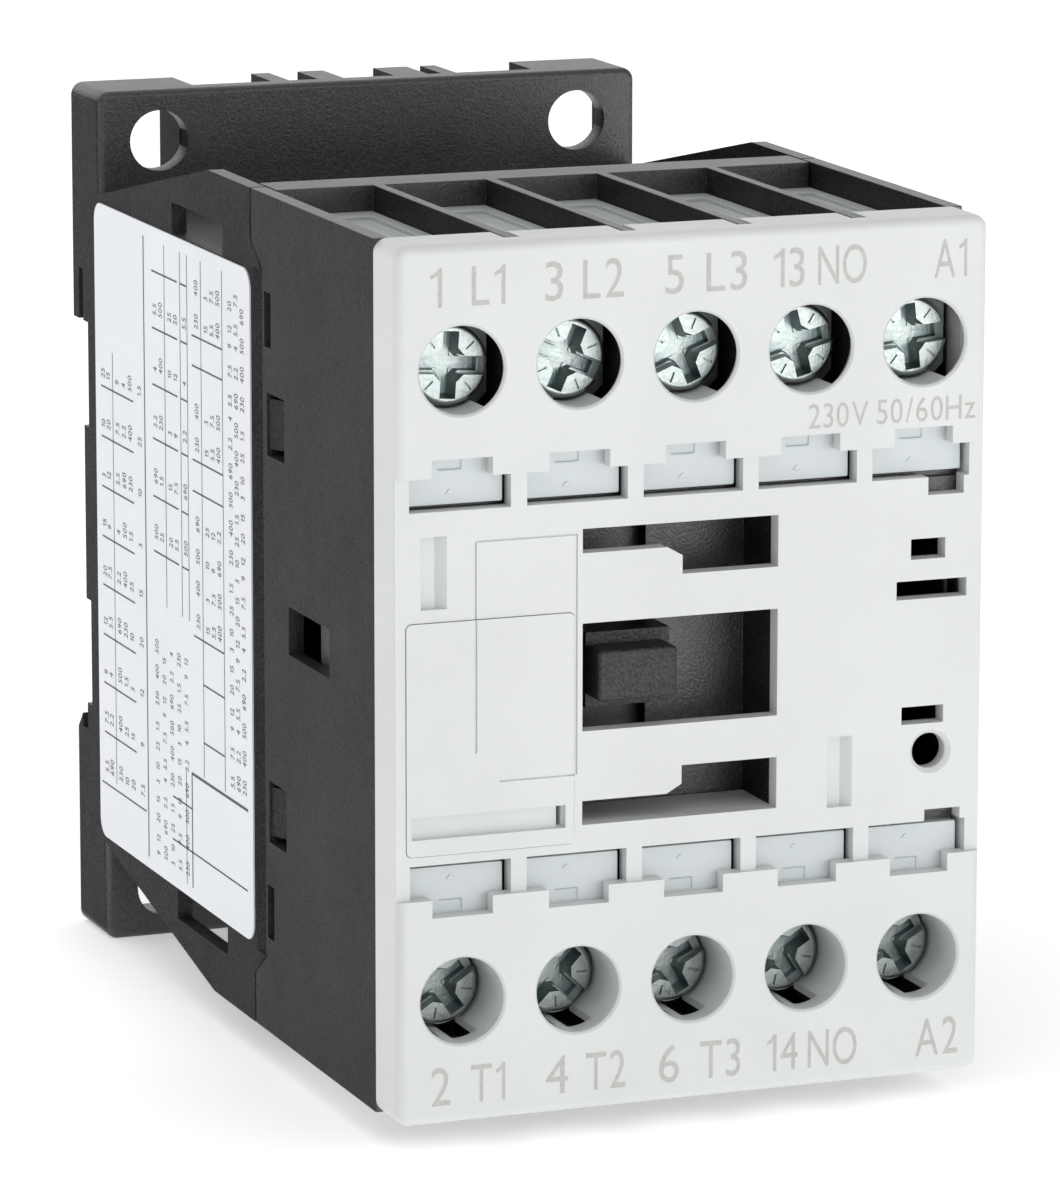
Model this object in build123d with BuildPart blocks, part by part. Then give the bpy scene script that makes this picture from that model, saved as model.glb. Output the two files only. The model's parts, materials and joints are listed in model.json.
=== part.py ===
from build123d import *
import os

# A four-pole DIN rail contactor, drawn in millimetres.
# +X is to the right seen from the front, +Z is up and +Y points back into the rail.
# The origin is the centre of the face that rests on the rail.
# A "depth" is a distance behind the front face of the cover.

# ---------------------------------------------------------------- driving dimensions
WIDTH = 45.0                # whole device, along X
HEIGHT = 63.0               # housings and cover, along Z
SEAT = 72.5                 # depth of the face that rests on the rail
LUG_END = 75.0              # depth of the hooks behind the rail
PLATE_FRONT = 68.0          # depth of the mounting plate's front face
PLATE_HEIGHT = 68.0         # mounting plate, along Z
HOLE_PITCH_X = 35.0         # mounting hole pattern
HOLE_PITCH_Z = 60.0
MOUNT_HOLE_R = 2.4

POLE_PITCH = 8.8            # distance between terminals
COLUMNS = [(i - 2) * POLE_PITCH for i in range(5)]
POLES = COLUMNS[:4]         # three main poles and one auxiliary contact
COIL_X = COLUMNS[4]         # the coil terminals stand in the last column
BETWEEN = [(i - 1.5) * POLE_PITCH for i in range(4)]
SCREW_Z = 22.6              # height of the terminal screws above and below the middle
SIDES = (1, -1)             # upper and lower, or right and left

HALF_W = WIDTH / 2
HALF_H = HEIGHT / 2
SIDE_WALL = 1.2
INNER_X = HALF_W - SIDE_WALL
GAP = 0.05                  # fitting gap between pieces that touch in service

# front cover
COVER_DEPTH = 4.6
COVER_FACE = 1.8            # thickness of its front wall
COVER_WALL = 1.1
STEP_Z = 15.1               # where the terminal fields stand proud of the middle field
STEP = 0.45
CORNER_R = 1.0
EDGE_R = 0.7
SCREW_HOLE_R = 3.15
TUBE_T = 0.5
TUBE_END = 6.2              # depth of the screwdriver guides below
RIB_END = 4.2               # depth of the ribs above
RELIEF_R = 4.0              # the upper holes widen towards the back
RELIEF = (0.3, 2.3)
TAG_HALF = 3.8              # half the width of a tag window
TAG_Z = 12.65               # inner edge of the tag windows
TAG_TOP = 16.9              # how far the windows run under the terminal field
TAG_DEPTH = 1.3
LIP = 1.2                   # thickness of the lip over the tags
NOTCH_HALF = 2.28
NOTCH_Z = 16.4
LABEL_X = (-21.7, -9.0)     # pocket of the label plate
LABEL_Z = (-12.0, 4.8)
LABEL_FLOOR = 0.95
LABEL_R = 0.4

# front housing
HOUSING_FRONT = 1.9
CHAMBER_HALF = 4.0
CHAMBER_Z = 18.4            # inner end of the terminal chambers
CAVITY_Z = 17.4
CAVITY_FRONT = 3.6
RECESS_X = (-9.0, 6.6)      # recess behind the three front windows
RECESS_Z = 11.0
RECESS_FLOOR = 7.0
RECESS_SLEEVE_Z = 12.35      # outer height of the walls around the recess
DEEP_Z = 9.5                # the left part of the recess is deeper
DEEP_FLOOR = 8.5
DEEP_SLEEVE_Z = 10.5
NOSE_OPENING_Z = 2.95
TEST_OPENING = ((14.6, 21.2), (-9.5, 9.5))
PARTITION_HALF = 0.4        # half the thickness of the partitions
WALL = 1.2
SPLIT = 28.7                # depth of the joint between the two housings
SPLIT_OUTER = 31.1
RIDGE_END = 33.2
GUIDE_Z = 29.6              # outer face of the wire guides
GUIDE_T = 1.2
CHAMBER_END = 29.3

# terminals and contacts
STRIP = 1.5                 # thickness of the copper strips
TERMINAL_FRONT = 11.0
STRIP_W = 5.2
LEG_Z = (16.0, 17.3)
FIXED_RAIL = 22.2
TIP_Z = 7.0
TIP_T = 0.98
SHANK_R = 1.7
SHANK_HOLE_R = 1.78
SHANK_LENGTH = 8.9
HEAD_R = 2.9
HEAD_T = 2.0
HEAD_DEPTH = {1: 2.6, -1: 4.7}      # upper screws stand loose, lower ones are turned in
CLAMP = (7.0, 6.4, 1.2)
BRIDGE_FRONT = 16.0
BRIDGE_T = 1.2
CONTACT_GAP = 3.0
STROKE = 4.2                # travel of the magnet

# contact carrier
NOSE_X = (-7.25, -1.25)
NOSE_Z = 1.83
NOSE_FRONT = 0.2
BEAM = (9.5, 11.5)
SEAT_BEAM = (17.2, 19.7)
CARRIER_X = (-21.2, 13.1)
CARRIER_Z = 3.6
REAR_PLATE = (28.5, 31.0)

# magnet and coil
STACK = 6.5                 # half the thickness of the lamination stack
CORE_Z = 19.0
LIMB_Z = (13.5, 19.0)
CENTRE_LIMB = 5.5
ARMATURE_BACK = (33.5, 38.0)
POLE_FACE = 50.0
YOKE_BACK = (63.5, 68.0)
BOBBIN = (42.6, 63.5)
FLANGE = (14.0, 13.0, 1.4)
BORE_GAP = 0.1
TUBE_WALL = 1.1


# ---------------------------------------------------------------- helpers
def facing(depth):
    """Plane at a depth, drawn as seen from the front: right is +X and up is +Z."""
    return Plane.XZ.offset(SEAT - depth)


def block(x, z, depth, mode=Mode.ADD):
    """Box between two values of x, of z and of depth."""
    x0, x1 = sorted(x)
    z0, z1 = sorted(z)
    d0, d1 = sorted(depth)
    with Locations(((x0 + x1) / 2, (d0 + d1) / 2 - SEAT, (z0 + z1) / 2)):
        Box(x1 - x0, d1 - d0, z1 - z0, mode=mode)


def rod(x, z, depth, radius, mode=Mode.ADD):
    """Round bar, or hole, that runs along the depth."""
    middle = (depth[0] + depth[1]) / 2 - SEAT
    with Locations(Location((x, middle, z), (90, 0, 0))):
        Cylinder(radius, abs(depth[1] - depth[0]), mode=mode)


def cross_rod(x, z, depth, radius, mode=Mode.ADD):
    """Round bar, or hole, that runs across the device along X."""
    with Locations(Location(((x[0] + x[1]) / 2, depth - SEAT, z), (0, 90, 0))):
        Cylinder(radius, x[1] - x[0], mode=mode)


def around(centre, half):
    """Pair of values on both sides of a centre."""
    return (centre - half, centre + half)


def finish(piece, name):
    """Label a finished piece and write it."""
    piece.label = name
    export_step(piece, f"parts/{name}.step")


os.makedirs("parts", exist_ok=True)

# ---------------------------------------------------------------- front cover
WINDOW_X = (-8.4, 6.55)
OUTER_WINDOW = [(-8.4, 10.7), (6.55, 10.7), (6.55, 6.95), (-0.8, 6.95),
                (-0.8, 8.3), (-1.95, 8.95), (-8.4, 8.95)]
TEST_SLOTS = [((16.9, 19.6), (6.7, 8.2)), ((15.8, 21.3), (3.8, 5.15)), ((16.3, 19.6), (-5.4, -4.1)),
              ((18.2, 21.0), (11.35, 12.7)), ((18.2, 21.0), (-12.7, -11.8))]
SIGHT_HOLE = (18.6, -7.5, 1.3)
GRIPS = ((-20.55, 8.3), (10.5, -8.45))      # left edge and height of the grip grooves
GRIP_H = 5.2
GRIP_FLOOR_W = 1.3
GRIP_SLOPE_W = 0.65
GRIP_SINK = 0.75
SKIRT = (-11.35, -10.7)     # ledge behind the lower window
SKIRT_END = 6.7
LINE_W = 0.14
LINE_SINK = 0.14

with BuildPart() as front_cover:
    with BuildSketch(facing(COVER_DEPTH)):
        RectangleRounded(WIDTH, HEIGHT, CORNER_R)
    extrude(amount=COVER_DEPTH)
    fillet(front_cover.faces().sort_by(Axis.Y)[0].edges(), EDGE_R)
    inside = (COVER_FACE, COVER_DEPTH + 1)
    block(around(0, HALF_W - COVER_WALL), around(0, HALF_H - COVER_WALL), inside, Mode.SUBTRACT)

    # the middle field lies lower, and teeth of the terminal fields reach over the tags
    with BuildSketch(facing(STEP)) as middle_field:
        Rectangle(WIDTH + 2, 2 * STEP_Z)
        for side in SIDES:
            with Locations([(c, side * (STEP_Z + NOTCH_Z) / 2) for c in COLUMNS]):
                Rectangle(2 * NOTCH_HALF, NOTCH_Z - STEP_Z)
        inner = [v for v in middle_field.vertices() if abs(abs(v.Z) - STEP_Z) < 0.01 and abs(v.X) < HALF_W]
        fillet(inner, 0.45)
    extrude(amount=1, mode=Mode.SUBTRACT)
    with BuildSketch(facing(LIP)) as windows:
        for side in SIDES:
            with Locations([(c, side * (STEP_Z + TAG_Z) / 2) for c in COLUMNS]):
                Rectangle(2 * TAG_HALF, STEP_Z - TAG_Z)
            with Locations([(c, side * (STEP_Z + NOTCH_Z) / 2) for c in COLUMNS]):
                Rectangle(2 * NOTCH_HALF, NOTCH_Z - STEP_Z)
        inner = [v for v in windows.vertices() if abs(abs(v.Z) - STEP_Z) < 0.01
                 and min(abs(abs(v.X - c) - NOTCH_HALF) for c in COLUMNS) < 0.01]
        fillet(inner, 0.45)
    extrude(amount=2, mode=Mode.SUBTRACT)
    for side in SIDES:
        for c in COLUMNS:
            block(around(c, TAG_HALF), (side * TAG_Z, side * TAG_TOP), (LIP, 3), Mode.SUBTRACT)

    # windows for add-on contacts, test slots and sight hole
    with BuildSketch(facing(COVER_FACE + 1)):
        Polygon(*OUTER_WINDOW, align=None)
        Polygon(*[(x, -z) for x, z in reversed(OUTER_WINDOW)], align=None)
        with Locations((sum(WINDOW_X) / 2, 0)):
            Rectangle(WINDOW_X[1] - WINDOW_X[0], 7.8)
        for x, z in TEST_SLOTS:
            with Locations((sum(x) / 2, sum(z) / 2)):
                Rectangle(x[1] - x[0], z[1] - z[0])
        with Locations(SIGHT_HOLE[:2]):
            Circle(SIGHT_HOLE[2])
    extrude(amount=COVER_FACE + 2, mode=Mode.SUBTRACT)

    # ledge behind the lower window
    block(WINDOW_X, SKIRT, (COVER_FACE - 0.5, SKIRT_END))

    # screwdriver holes: relieved with short ribs above, and with slotted guides below
    for c in COLUMNS:
        with Locations(Location((c, sum(RELIEF) / 2 - SEAT, SCREW_Z), (90, 0, 0))):
            Cone(RELIEF_R, SCREW_HOLE_R, RELIEF[1] - RELIEF[0], mode=Mode.SUBTRACT)
    with BuildSketch(facing(RIB_END)):
        with Locations([(c, SCREW_Z - SCREW_HOLE_R - 0.2) for c in COLUMNS]):
            Rectangle(3.4, 1.4)
    extrude(amount=RIB_END - RELIEF[0] - 0.1)
    with BuildSketch(facing(TUBE_END)) as guides:
        with Locations([(c, -SCREW_Z) for c in COLUMNS]):
            Circle(SCREW_HOLE_R + TUBE_T)
        with Locations([(c, -SCREW_Z - 4) for c in COLUMNS]):
            Rectangle(3.4, 5, mode=Mode.SUBTRACT)
        with Locations([(c - 0.6, -SCREW_Z - SCREW_HOLE_R - 0.05) for c in COLUMNS]):
            Rectangle(0.8, 0.9)
    extrude(amount=TUBE_END - COVER_FACE / 2)
    for side in SIDES:
        for c in COLUMNS:
            rod(c, side * SCREW_Z, (-1, TUBE_END + 1), SCREW_HOLE_R, Mode.SUBTRACT)
    round_edges = front_cover.edges().filter_by(GeomType.CIRCLE)
    rims = round_edges.filter_by(lambda e: abs(e.radius - SCREW_HOLE_R) < 0.01 and e.center().Y < 0.1 - SEAT)
    chamfer(rims, 0.18)
    sight_rim = round_edges.filter_by(lambda e: abs(e.radius - SIGHT_HOLE[2]) < 0.01).sort_by(Axis.Y)[0]
    chamfer(sight_rim, 0.35)

    # notches for the chamber partitions in the upper and lower skirt
    for side in SIDES:
        for x in BETWEEN:
            block(around(x, 0.6), (side * 30, side * 32), (HOUSING_FRONT, COVER_DEPTH + 1), Mode.SUBTRACT)

    # grip grooves, label pocket with its release slot, and engraved label frame
    for x, z in GRIPS:
        floor_y = STEP + GRIP_SINK - SEAT
        with BuildSketch(Plane.XY.offset(z - GRIP_H / 2)):
            right = x + GRIP_FLOOR_W + GRIP_SLOPE_W
            Polygon((x, STEP - SEAT - 0.1), (x, floor_y), (x + GRIP_FLOOR_W, floor_y),
                    (right, STEP - SEAT), (right, STEP - SEAT - 0.1), align=None)
        extrude(amount=GRIP_H, mode=Mode.SUBTRACT)
    with BuildSketch(facing(LABEL_FLOOR)):
        with Locations((sum(LABEL_X) / 2, sum(LABEL_Z) / 2)):
            RectangleRounded(LABEL_X[1] - LABEL_X[0], LABEL_Z[1] - LABEL_Z[0], LABEL_R + GAP)
    extrude(amount=LABEL_FLOOR + 1, mode=Mode.SUBTRACT)
    block((-10.2, -9.85), (-10.7, -9.15), (0, 3), Mode.SUBTRACT)
    engraved = (0, STEP + LINE_SINK)
    block(around(-16.45, LINE_W / 2), (LABEL_Z[1], 10.35), engraved, Mode.SUBTRACT)
    block((-16.45, -8.85), around(10.35, LINE_W / 2), engraved, Mode.SUBTRACT)
    block(around(-8.85, LINE_W / 2), (-6.95, 10.35), engraved, Mode.SUBTRACT)
finish(front_cover.part, "front_cover")

# ---------------------------------------------------------------- label plate
LABEL_FRONT = STEP - 0.1
with BuildPart() as label_plate:
    with BuildSketch(facing(LABEL_FLOOR)):
        with Locations((sum(LABEL_X) / 2, sum(LABEL_Z) / 2)):
            RectangleRounded(LABEL_X[1] - LABEL_X[0] - 2 * GAP, LABEL_Z[1] - LABEL_Z[0] - 2 * GAP, LABEL_R)
    extrude(amount=LABEL_FLOOR - LABEL_FRONT)
    block((-21.3, -9.7), (-10.75, -9.1), (0, 1), Mode.SUBTRACT)
    block(around(-16.45, LINE_W / 2), (-4.8, 5), (0, LABEL_FRONT + LINE_SINK), Mode.SUBTRACT)
    block((-14.7, -8.9), around(-6.95, LINE_W / 2), (0, LABEL_FRONT + LINE_SINK), Mode.SUBTRACT)
finish(label_plate.part, "label_plate")

# ---------------------------------------------------------------- marking tags
for side, name in zip(SIDES, ("marking_tags_upper", "marking_tags_lower")):
    with BuildPart() as marking_tags:
        for c in COLUMNS:
            block((c - TAG_HALF + GAP, c + TAG_HALF - 0.35), (side * (TAG_Z + 0.35), side * (TAG_TOP - 0.1)),
                  (TAG_DEPTH, TAG_DEPTH + 1))
            sunk = (TAG_DEPTH - 1, TAG_DEPTH + 0.12)
            block((c - 1.4, c + 0.4), (side * 15.45, side * 16.3), sunk, Mode.SUBTRACT)
        with BuildSketch(facing(TAG_DEPTH)):
            with Locations([(c - 0.5, side * 13.85) for c in COLUMNS]):
                Triangle(a=0.7, b=0.5, c=0.5)
        extrude(amount=0.12)
    finish(marking_tags.part, name)

# ---------------------------------------------------------------- front housing
HOOK_WINDOW = ((12.2, 16.9), (23.9, 27.8))
VENT_WINDOW = ((-1.8, 1.8), (14.2, 23.2))
LATCH_SLOT = ((20.2, 24.3), (26.8, 28.3))

with BuildPart() as front_housing:
    block(around(0, HALF_W), around(0, HALF_H), (COVER_DEPTH + GAP, SPLIT))
    tongue = (HALF_W - COVER_WALL - 0.15, HALF_H - COVER_WALL - 0.15)
    block(around(0, tongue[0]), around(0, tongue[1]), (HOUSING_FRONT, COVER_DEPTH + 1))
    for x in BETWEEN:
        block(around(x, PARTITION_HALF), around(0, HALF_H), (HOUSING_FRONT + 0.1, COVER_DEPTH + 1))
    # side walls step back to the joint with the base
    for side in SIDES:
        with BuildSketch(Plane.YZ.offset(INNER_X if side > 0 else -HALF_W)):
            for end in SIDES:
                Polygon((SPLIT - SEAT, end * 25.9), (SPLIT_OUTER - SEAT, end * 27.6),
                        (SPLIT_OUTER - SEAT, end * HALF_H), (SPLIT - SEAT, end * HALF_H), align=None)
        extrude(amount=SIDE_WALL)
    # cross ridges between the fins of the base
    for side in SIDES:
        block(around(0, INNER_X - 0.2), (side * 25.4, side * HALF_H), (SPLIT - 1, RIDGE_END))

    # mechanism cavity behind the front wall
    block(around(0, INNER_X), around(0, CAVITY_Z), (CAVITY_FRONT, SPLIT + 1), Mode.SUBTRACT)
    # recess for add-on contacts, with the opening for the carrier
    sleeve_x = (RECESS_X[0] - 1, RECESS_X[1] + 1)
    block(sleeve_x, around(0, RECESS_SLEEVE_Z), (HOUSING_FRONT, RECESS_FLOOR + WALL))
    block((RECESS_X[0] - 1, 0), around(0, DEEP_SLEEVE_Z), (RECESS_FLOOR, BEAM[0] - 0.2))
    block(RECESS_X, (SKIRT[0] - 0.1, RECESS_Z), (0, RECESS_FLOOR), Mode.SUBTRACT)
    block((RECESS_X[0], -1.0), around(0, DEEP_Z), (0, DEEP_FLOOR), Mode.SUBTRACT)
    nose_opening = (RECESS_X[0] + 0.4, NOSE_X[1] + 0.65)
    block(nose_opening, around(0, NOSE_OPENING_Z), (0, BEAM[0] + 0.5), Mode.SUBTRACT)
    # test opening behind the slots of the cover
    block(*TEST_OPENING, (0, CAVITY_FRONT + 1), Mode.SUBTRACT)

    for side in SIDES:
        for c in COLUMNS:
            x = (max(c - CHAMBER_HALF, -INNER_X), min(c + CHAMBER_HALF, INNER_X))
            block(x, (side * CHAMBER_Z, side * 32), (0, TERMINAL_FRONT + STRIP + GAP), Mode.SUBTRACT)
            block(x, (side * (CHAMBER_Z + 1), side * 32), (14, CHAMBER_END), Mode.SUBTRACT)
            block(x, (side * (GUIDE_Z - GUIDE_T - 0.1), side * 32), (12, 15), Mode.SUBTRACT)
            rod(c, side * SCREW_Z, (12, 15), 2.2, Mode.SUBTRACT)
            # pocket behind a tag and slot for the copper strip
            pocket = (0, TAG_DEPTH + 1 + GAP)
            block(around(c, TAG_HALF + GAP), (side * 12.4, side * 17.2), pocket, Mode.SUBTRACT)
            block(around(c, STRIP_W / 2 + GAP), (side * (CAVITY_Z - 1), side * (CHAMBER_Z + 1)),
                  (TERMINAL_FRONT - GAP, TERMINAL_FRONT + STRIP + GAP), Mode.SUBTRACT)

    # walls between the poles, and the wall beside the coil column
    for x in BETWEEN[:3]:
        for side in SIDES:
            z = (side * 5.2, side * (CAVITY_Z + 0.5))
            block(around(x, PARTITION_HALF), z, (15, REAR_PLATE[0] - 0.3))
    block((CARRIER_X[1] + 0.1, CARRIER_X[1] + 1.1), around(0, CAVITY_Z + 0.5), (CAVITY_FRONT - 1, SPLIT))

    # openings in both side walls
    for wall in ((-HALF_W - 1, -INNER_X + 0.1), (INNER_X - 0.1, HALF_W + 1)):
        block(wall, *VENT_WINDOW, Mode.SUBTRACT)
        for side in SIDES:
            for z, depth in (HOOK_WINDOW, LATCH_SLOT):
                block(wall, (side * z[0], side * z[1]), depth, Mode.SUBTRACT)
finish(front_housing.part, "front_housing")

# ---------------------------------------------------------------- wire guides
for side, name in zip(SIDES, ("wire_guides_upper", "wire_guides_lower")):
    with BuildPart() as wire_guides:
        for c in COLUMNS:
            x = (max(c - CHAMBER_HALF, -INNER_X) + GAP, min(c + CHAMBER_HALF, INNER_X) - GAP)
            block(x, (side * (GUIDE_Z - GUIDE_T), side * GUIDE_Z), (COVER_DEPTH + 0.1, CHAMBER_END - GAP))
            # the cable goes in at the front, and the rest is a shallow tray
            block((x[0] + 0.9, x[1] - 0.9), (side * 20, side * 32), (5.6, 10.8), Mode.SUBTRACT)
            block((x[0] + 1.1, x[1] - 1.1), (side * (GUIDE_Z - 0.3), side * 32), (12.2, 26.8), Mode.SUBTRACT)
    finish(wire_guides.part, name)

# ---------------------------------------------------------------- base housing
FIN_PEAK = 41.0
FIN_FOOT = 26.0
BOX_Z = 25.2
CAVITY_BASE_Z = 24.0
BASE_FLOOR = 69.0
FIN_POCKET = ((25.5, 27.9), (37.7, 49.8))
REAR_RIBS = [-14.8, -6.8, -2.6, 4.2, 7.4, 15.2]
RIB_HALF = 0.4
PLATE_CORNER_R = 1.0
PLATE_EDGE_R = 0.5
BASE_GAP = 0.25             # the joint groove between the housings
RAIL_CHANNEL_Z = (-16.6, 15.4)
RELIEF_DEPTH = 71.3
# gaps between the ribs in the plate's upper edge
TOP_GAPS = ((-14.1, -7.55), (-6.05, -3.65), (-1.5, 2.75), (5.6, 6.75), (8.0, 14.4))

with BuildPart() as base_housing:
    # mounting plate
    with BuildSketch(facing(LUG_END)):
        RectangleRounded(WIDTH, PLATE_HEIGHT, PLATE_CORNER_R)
    extrude(amount=LUG_END - PLATE_FRONT)
    fillet(base_housing.faces().sort_by(Axis.Y)[0].edges(), PLATE_EDGE_R)

    # box around the magnet, with fins on both side walls
    block(around(0, HALF_W), around(0, BOX_Z), (SPLIT + BASE_GAP, PLATE_FRONT + 1))
    for side in SIDES:
        with BuildSketch(Plane.YZ.offset(INNER_X if side > 0 else -HALF_W)):
            for end in SIDES:
                Polygon((SPLIT + BASE_GAP - SEAT, 0), (SPLIT + BASE_GAP - SEAT, end * 25.9),
                        (SPLIT_OUTER + BASE_GAP - SEAT, end * 27.7),
                        (SPLIT_OUTER + BASE_GAP - SEAT, end * HALF_H), (FIN_PEAK - SEAT, end * HALF_H),
                        (PLATE_FRONT - SEAT, end * FIN_FOOT), (PLATE_FRONT + 1 - SEAT, end * FIN_FOOT),
                        (PLATE_FRONT + 1 - SEAT, 0), align=None)
        extrude(amount=SIDE_WALL)
    # bevelled front edges of the side walls
    with BuildSketch(Plane.XY.offset(-25.8)):
        for side in SIDES:
            Polygon((side * HALF_W, 30.8 - SEAT), (side * (HALF_W - 0.35), SPLIT - SEAT),
                    (side * (HALF_W + 1), SPLIT - SEAT), align=None)
    extrude(amount=2 * 25.8, mode=Mode.SUBTRACT)
    block(around(0, INNER_X), around(0, CAVITY_BASE_Z), (SPLIT, BASE_FLOOR), Mode.SUBTRACT)
    for side in SIDES:
        z = (side * FIN_POCKET[0][0], side * FIN_POCKET[0][1])
        block(around(0, HALF_W + 1), z, FIN_POCKET[1], Mode.SUBTRACT)
        for x_side in SIDES:
            x = (x_side * (INNER_X - 4.2), x_side * (INNER_X - 3.4))
            block(x, (side * (BOX_Z - 0.2), side * 28.6), (FIN_POCKET[1][0] - 1, FIN_POCKET[1][1] + 1))

    # rail channel: seat pad, two relieved strips, upper hook and lower hook
    block(around(0, HALF_W + 1), RAIL_CHANNEL_Z, (SEAT, LUG_END + 1), Mode.SUBTRACT)
    block(around(0, HALF_W + 1), (7.0, RAIL_CHANNEL_Z[1]), (RELIEF_DEPTH, LUG_END), Mode.SUBTRACT)
    block(around(0, HALF_W + 1), (-15.5, -7.0), (RELIEF_DEPTH, LUG_END), Mode.SUBTRACT)
    block(around(0, HALF_W + 1), (15.0, 19.5), (SEAT, 73.6), Mode.SUBTRACT)
    block(around(0, HALF_W + 1), (-17.7, -16.0), (SEAT, 73.8), Mode.SUBTRACT)
    with BuildSketch(Plane.YZ.offset(-HALF_W - 1)):
        hook_y = LUG_END + 0.1 - SEAT
        Polygon((73.8 - SEAT, -16.6), (hook_y, -18.0), (hook_y, -16.5), align=None)
    extrude(amount=WIDTH + 2, mode=Mode.SUBTRACT)
    block(around(0, 10.2), (17.6, 19.5), (70.9, SEAT + 1), Mode.SUBTRACT)

    # hollows between the ribs behind the plate, and the four mounting holes
    edges = [-HALF_W + 0.9 - RIB_HALF] + REAR_RIBS + [HALF_W - 0.9 + RIB_HALF]
    for side in SIDES:
        for left, right in zip(edges[:-1], edges[1:]):
            x = (left + RIB_HALF, right - RIB_HALF)
            z = (side * 21.5, side * (PLATE_HEIGHT / 2 - 0.9))
            block(x, z, (PLATE_FRONT + 2, LUG_END + 1), Mode.SUBTRACT)
    block(around(0, INNER_X + 0.3), (20.5, 24.5), (PLATE_FRONT + 3.5, LUG_END + 1), Mode.SUBTRACT)
    for x in TOP_GAPS:
        block(x, (32, 35), (PLATE_FRONT + 2, LUG_END + 1), Mode.SUBTRACT)
    for x in (-HOLE_PITCH_X / 2, HOLE_PITCH_X / 2):
        for z in (-HOLE_PITCH_Z / 2, HOLE_PITCH_Z / 2):
            rod(x, z, (PLATE_FRONT - 1, PLATE_FRONT + 2), MOUNT_HOLE_R, Mode.SUBTRACT)

    # snap arms that reach into the windows of the front housing
    for x_side in SIDES:
        for side in SIDES:
            z = (side * 12.7, side * 16.4)
            block((x_side * (INNER_X - 1.1), x_side * (INNER_X - 0.1)), z, (25.2, SPLIT + 2))
            block((x_side * (INNER_X - 1.1), x_side * (INNER_X + 0.2)), z, (SPLIT + 0.25, SPLIT + 3))
            with BuildSketch(Plane.XY.offset(min(z))):
                root_x = x_side * (INNER_X - 0.5)
                Polygon((root_x, 27.75 - SEAT), (x_side * (HALF_W - 0.2), 27.75 - SEAT),
                        (x_side * (INNER_X + 0.2), 25.7 - SEAT), (root_x, 25.7 - SEAT), align=None)
            extrude(amount=abs(z[1] - z[0]))
    # ribs that centre the yoke
    for side in SIDES:
        block(around(0, 8), (side * 19.1, side * 20.3), (60, BASE_FLOOR + 1))
    for side in SIDES:
        block((side * 7.4, side * 8.4), around(0, 20.3), (65, BASE_FLOOR + 1))
finish(base_housing.part, "base_housing")

# ---------------------------------------------------------------- rating label
LABEL_T = 0.12
with BuildPart() as rating_label:
    with BuildSketch(Plane.YZ.offset(-HALF_W - LABEL_T)):
        with Locations(((31.2 + 69.0) / 2 - SEAT, 0)):
            RectangleRounded(69.0 - 31.2, 50.8, 1.5)
    extrude(amount=LABEL_T)
finish(rating_label.part, "rating_label")

# ---------------------------------------------------------------- rail spring
SPRING_T = 0.4
SPRING_Z = 17.75
with BuildPart() as rail_spring:
    block(around(0, 9.6), (SPRING_Z, SPRING_Z + SPRING_T), (71.0, 73.4))
    block((-9.6, -9.2), (SPRING_Z, SPRING_Z + 1.3), (71.0, 73.4))
    fillet(rail_spring.edges().filter_by(Axis.Y).sort_by(Axis.X)[-2:], 0.15)
finish(rail_spring.part, "rail_spring")

# ---------------------------------------------------------------- terminal screws
# drawn once with the front of the head at the origin, pointing back along +Y
SLOT_W = 1.35
CROSS = (4.8, 1.2)
with BuildPart() as screw_form:
    with Locations(Location((0, HEAD_T / 2, 0), (90, 0, 0))):
        Cylinder(HEAD_R, HEAD_T)
    fillet(screw_form.edges().filter_by(GeomType.CIRCLE).sort_by(Axis.Y)[0], 0.35)
    with Locations(Location((0, HEAD_T + SHANK_LENGTH / 2, 0), (90, 0, 0))):
        Cylinder(SHANK_R, SHANK_LENGTH)
    chamfer(screw_form.edges().filter_by(GeomType.CIRCLE).sort_by(Axis.Y)[-1], 0.5)
    # slot across the head, and a tapered cross recess with a wide middle
    Box(2 * HEAD_R + 1, 1.7, SLOT_W, mode=Mode.SUBTRACT)
    for turn, size, depth, taper in ((0, CROSS, 1.6, 6), (90, CROSS, 1.6, 6), (45, (2.6, 2.6), 1.5, 16)):
        with BuildSketch(Plane.XZ.rotated((0, turn, 0)).offset(0.1)):
            Rectangle(*size)
        extrude(amount=-depth, taper=taper, mode=Mode.SUBTRACT)
    # four radial marks between the arms
    for turn in (45, 135):
        with BuildSketch(Plane.XZ.rotated((0, turn, 0)).offset(0.1)):
            with Locations((2.05, 0), (-2.05, 0)):
                Rectangle(0.8, 0.16)
        extrude(amount=-0.24, mode=Mode.SUBTRACT)

CLAMP_W, CLAMP_H, CLAMP_T = CLAMP
with BuildPart() as clamp_form:
    with Locations((0, CLAMP_T / 2, 0)):
        Box(CLAMP_W, CLAMP_T, CLAMP_H)
    chamfer(clamp_form.edges().filter_by(Axis.Y), 0.8)
    with Locations((0, CLAMP_T, 1.2 + SHANK_HOLE_R), (0, CLAMP_T, -1.2 - SHANK_HOLE_R)):
        Box(CLAMP_W + 1, 0.5, 0.4, mode=Mode.SUBTRACT)
    with Locations(Location((0, 0, 0), (90, 0, 0))):
        Cylinder(SHANK_HOLE_R, 4 * CLAMP_T, mode=Mode.SUBTRACT)

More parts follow.
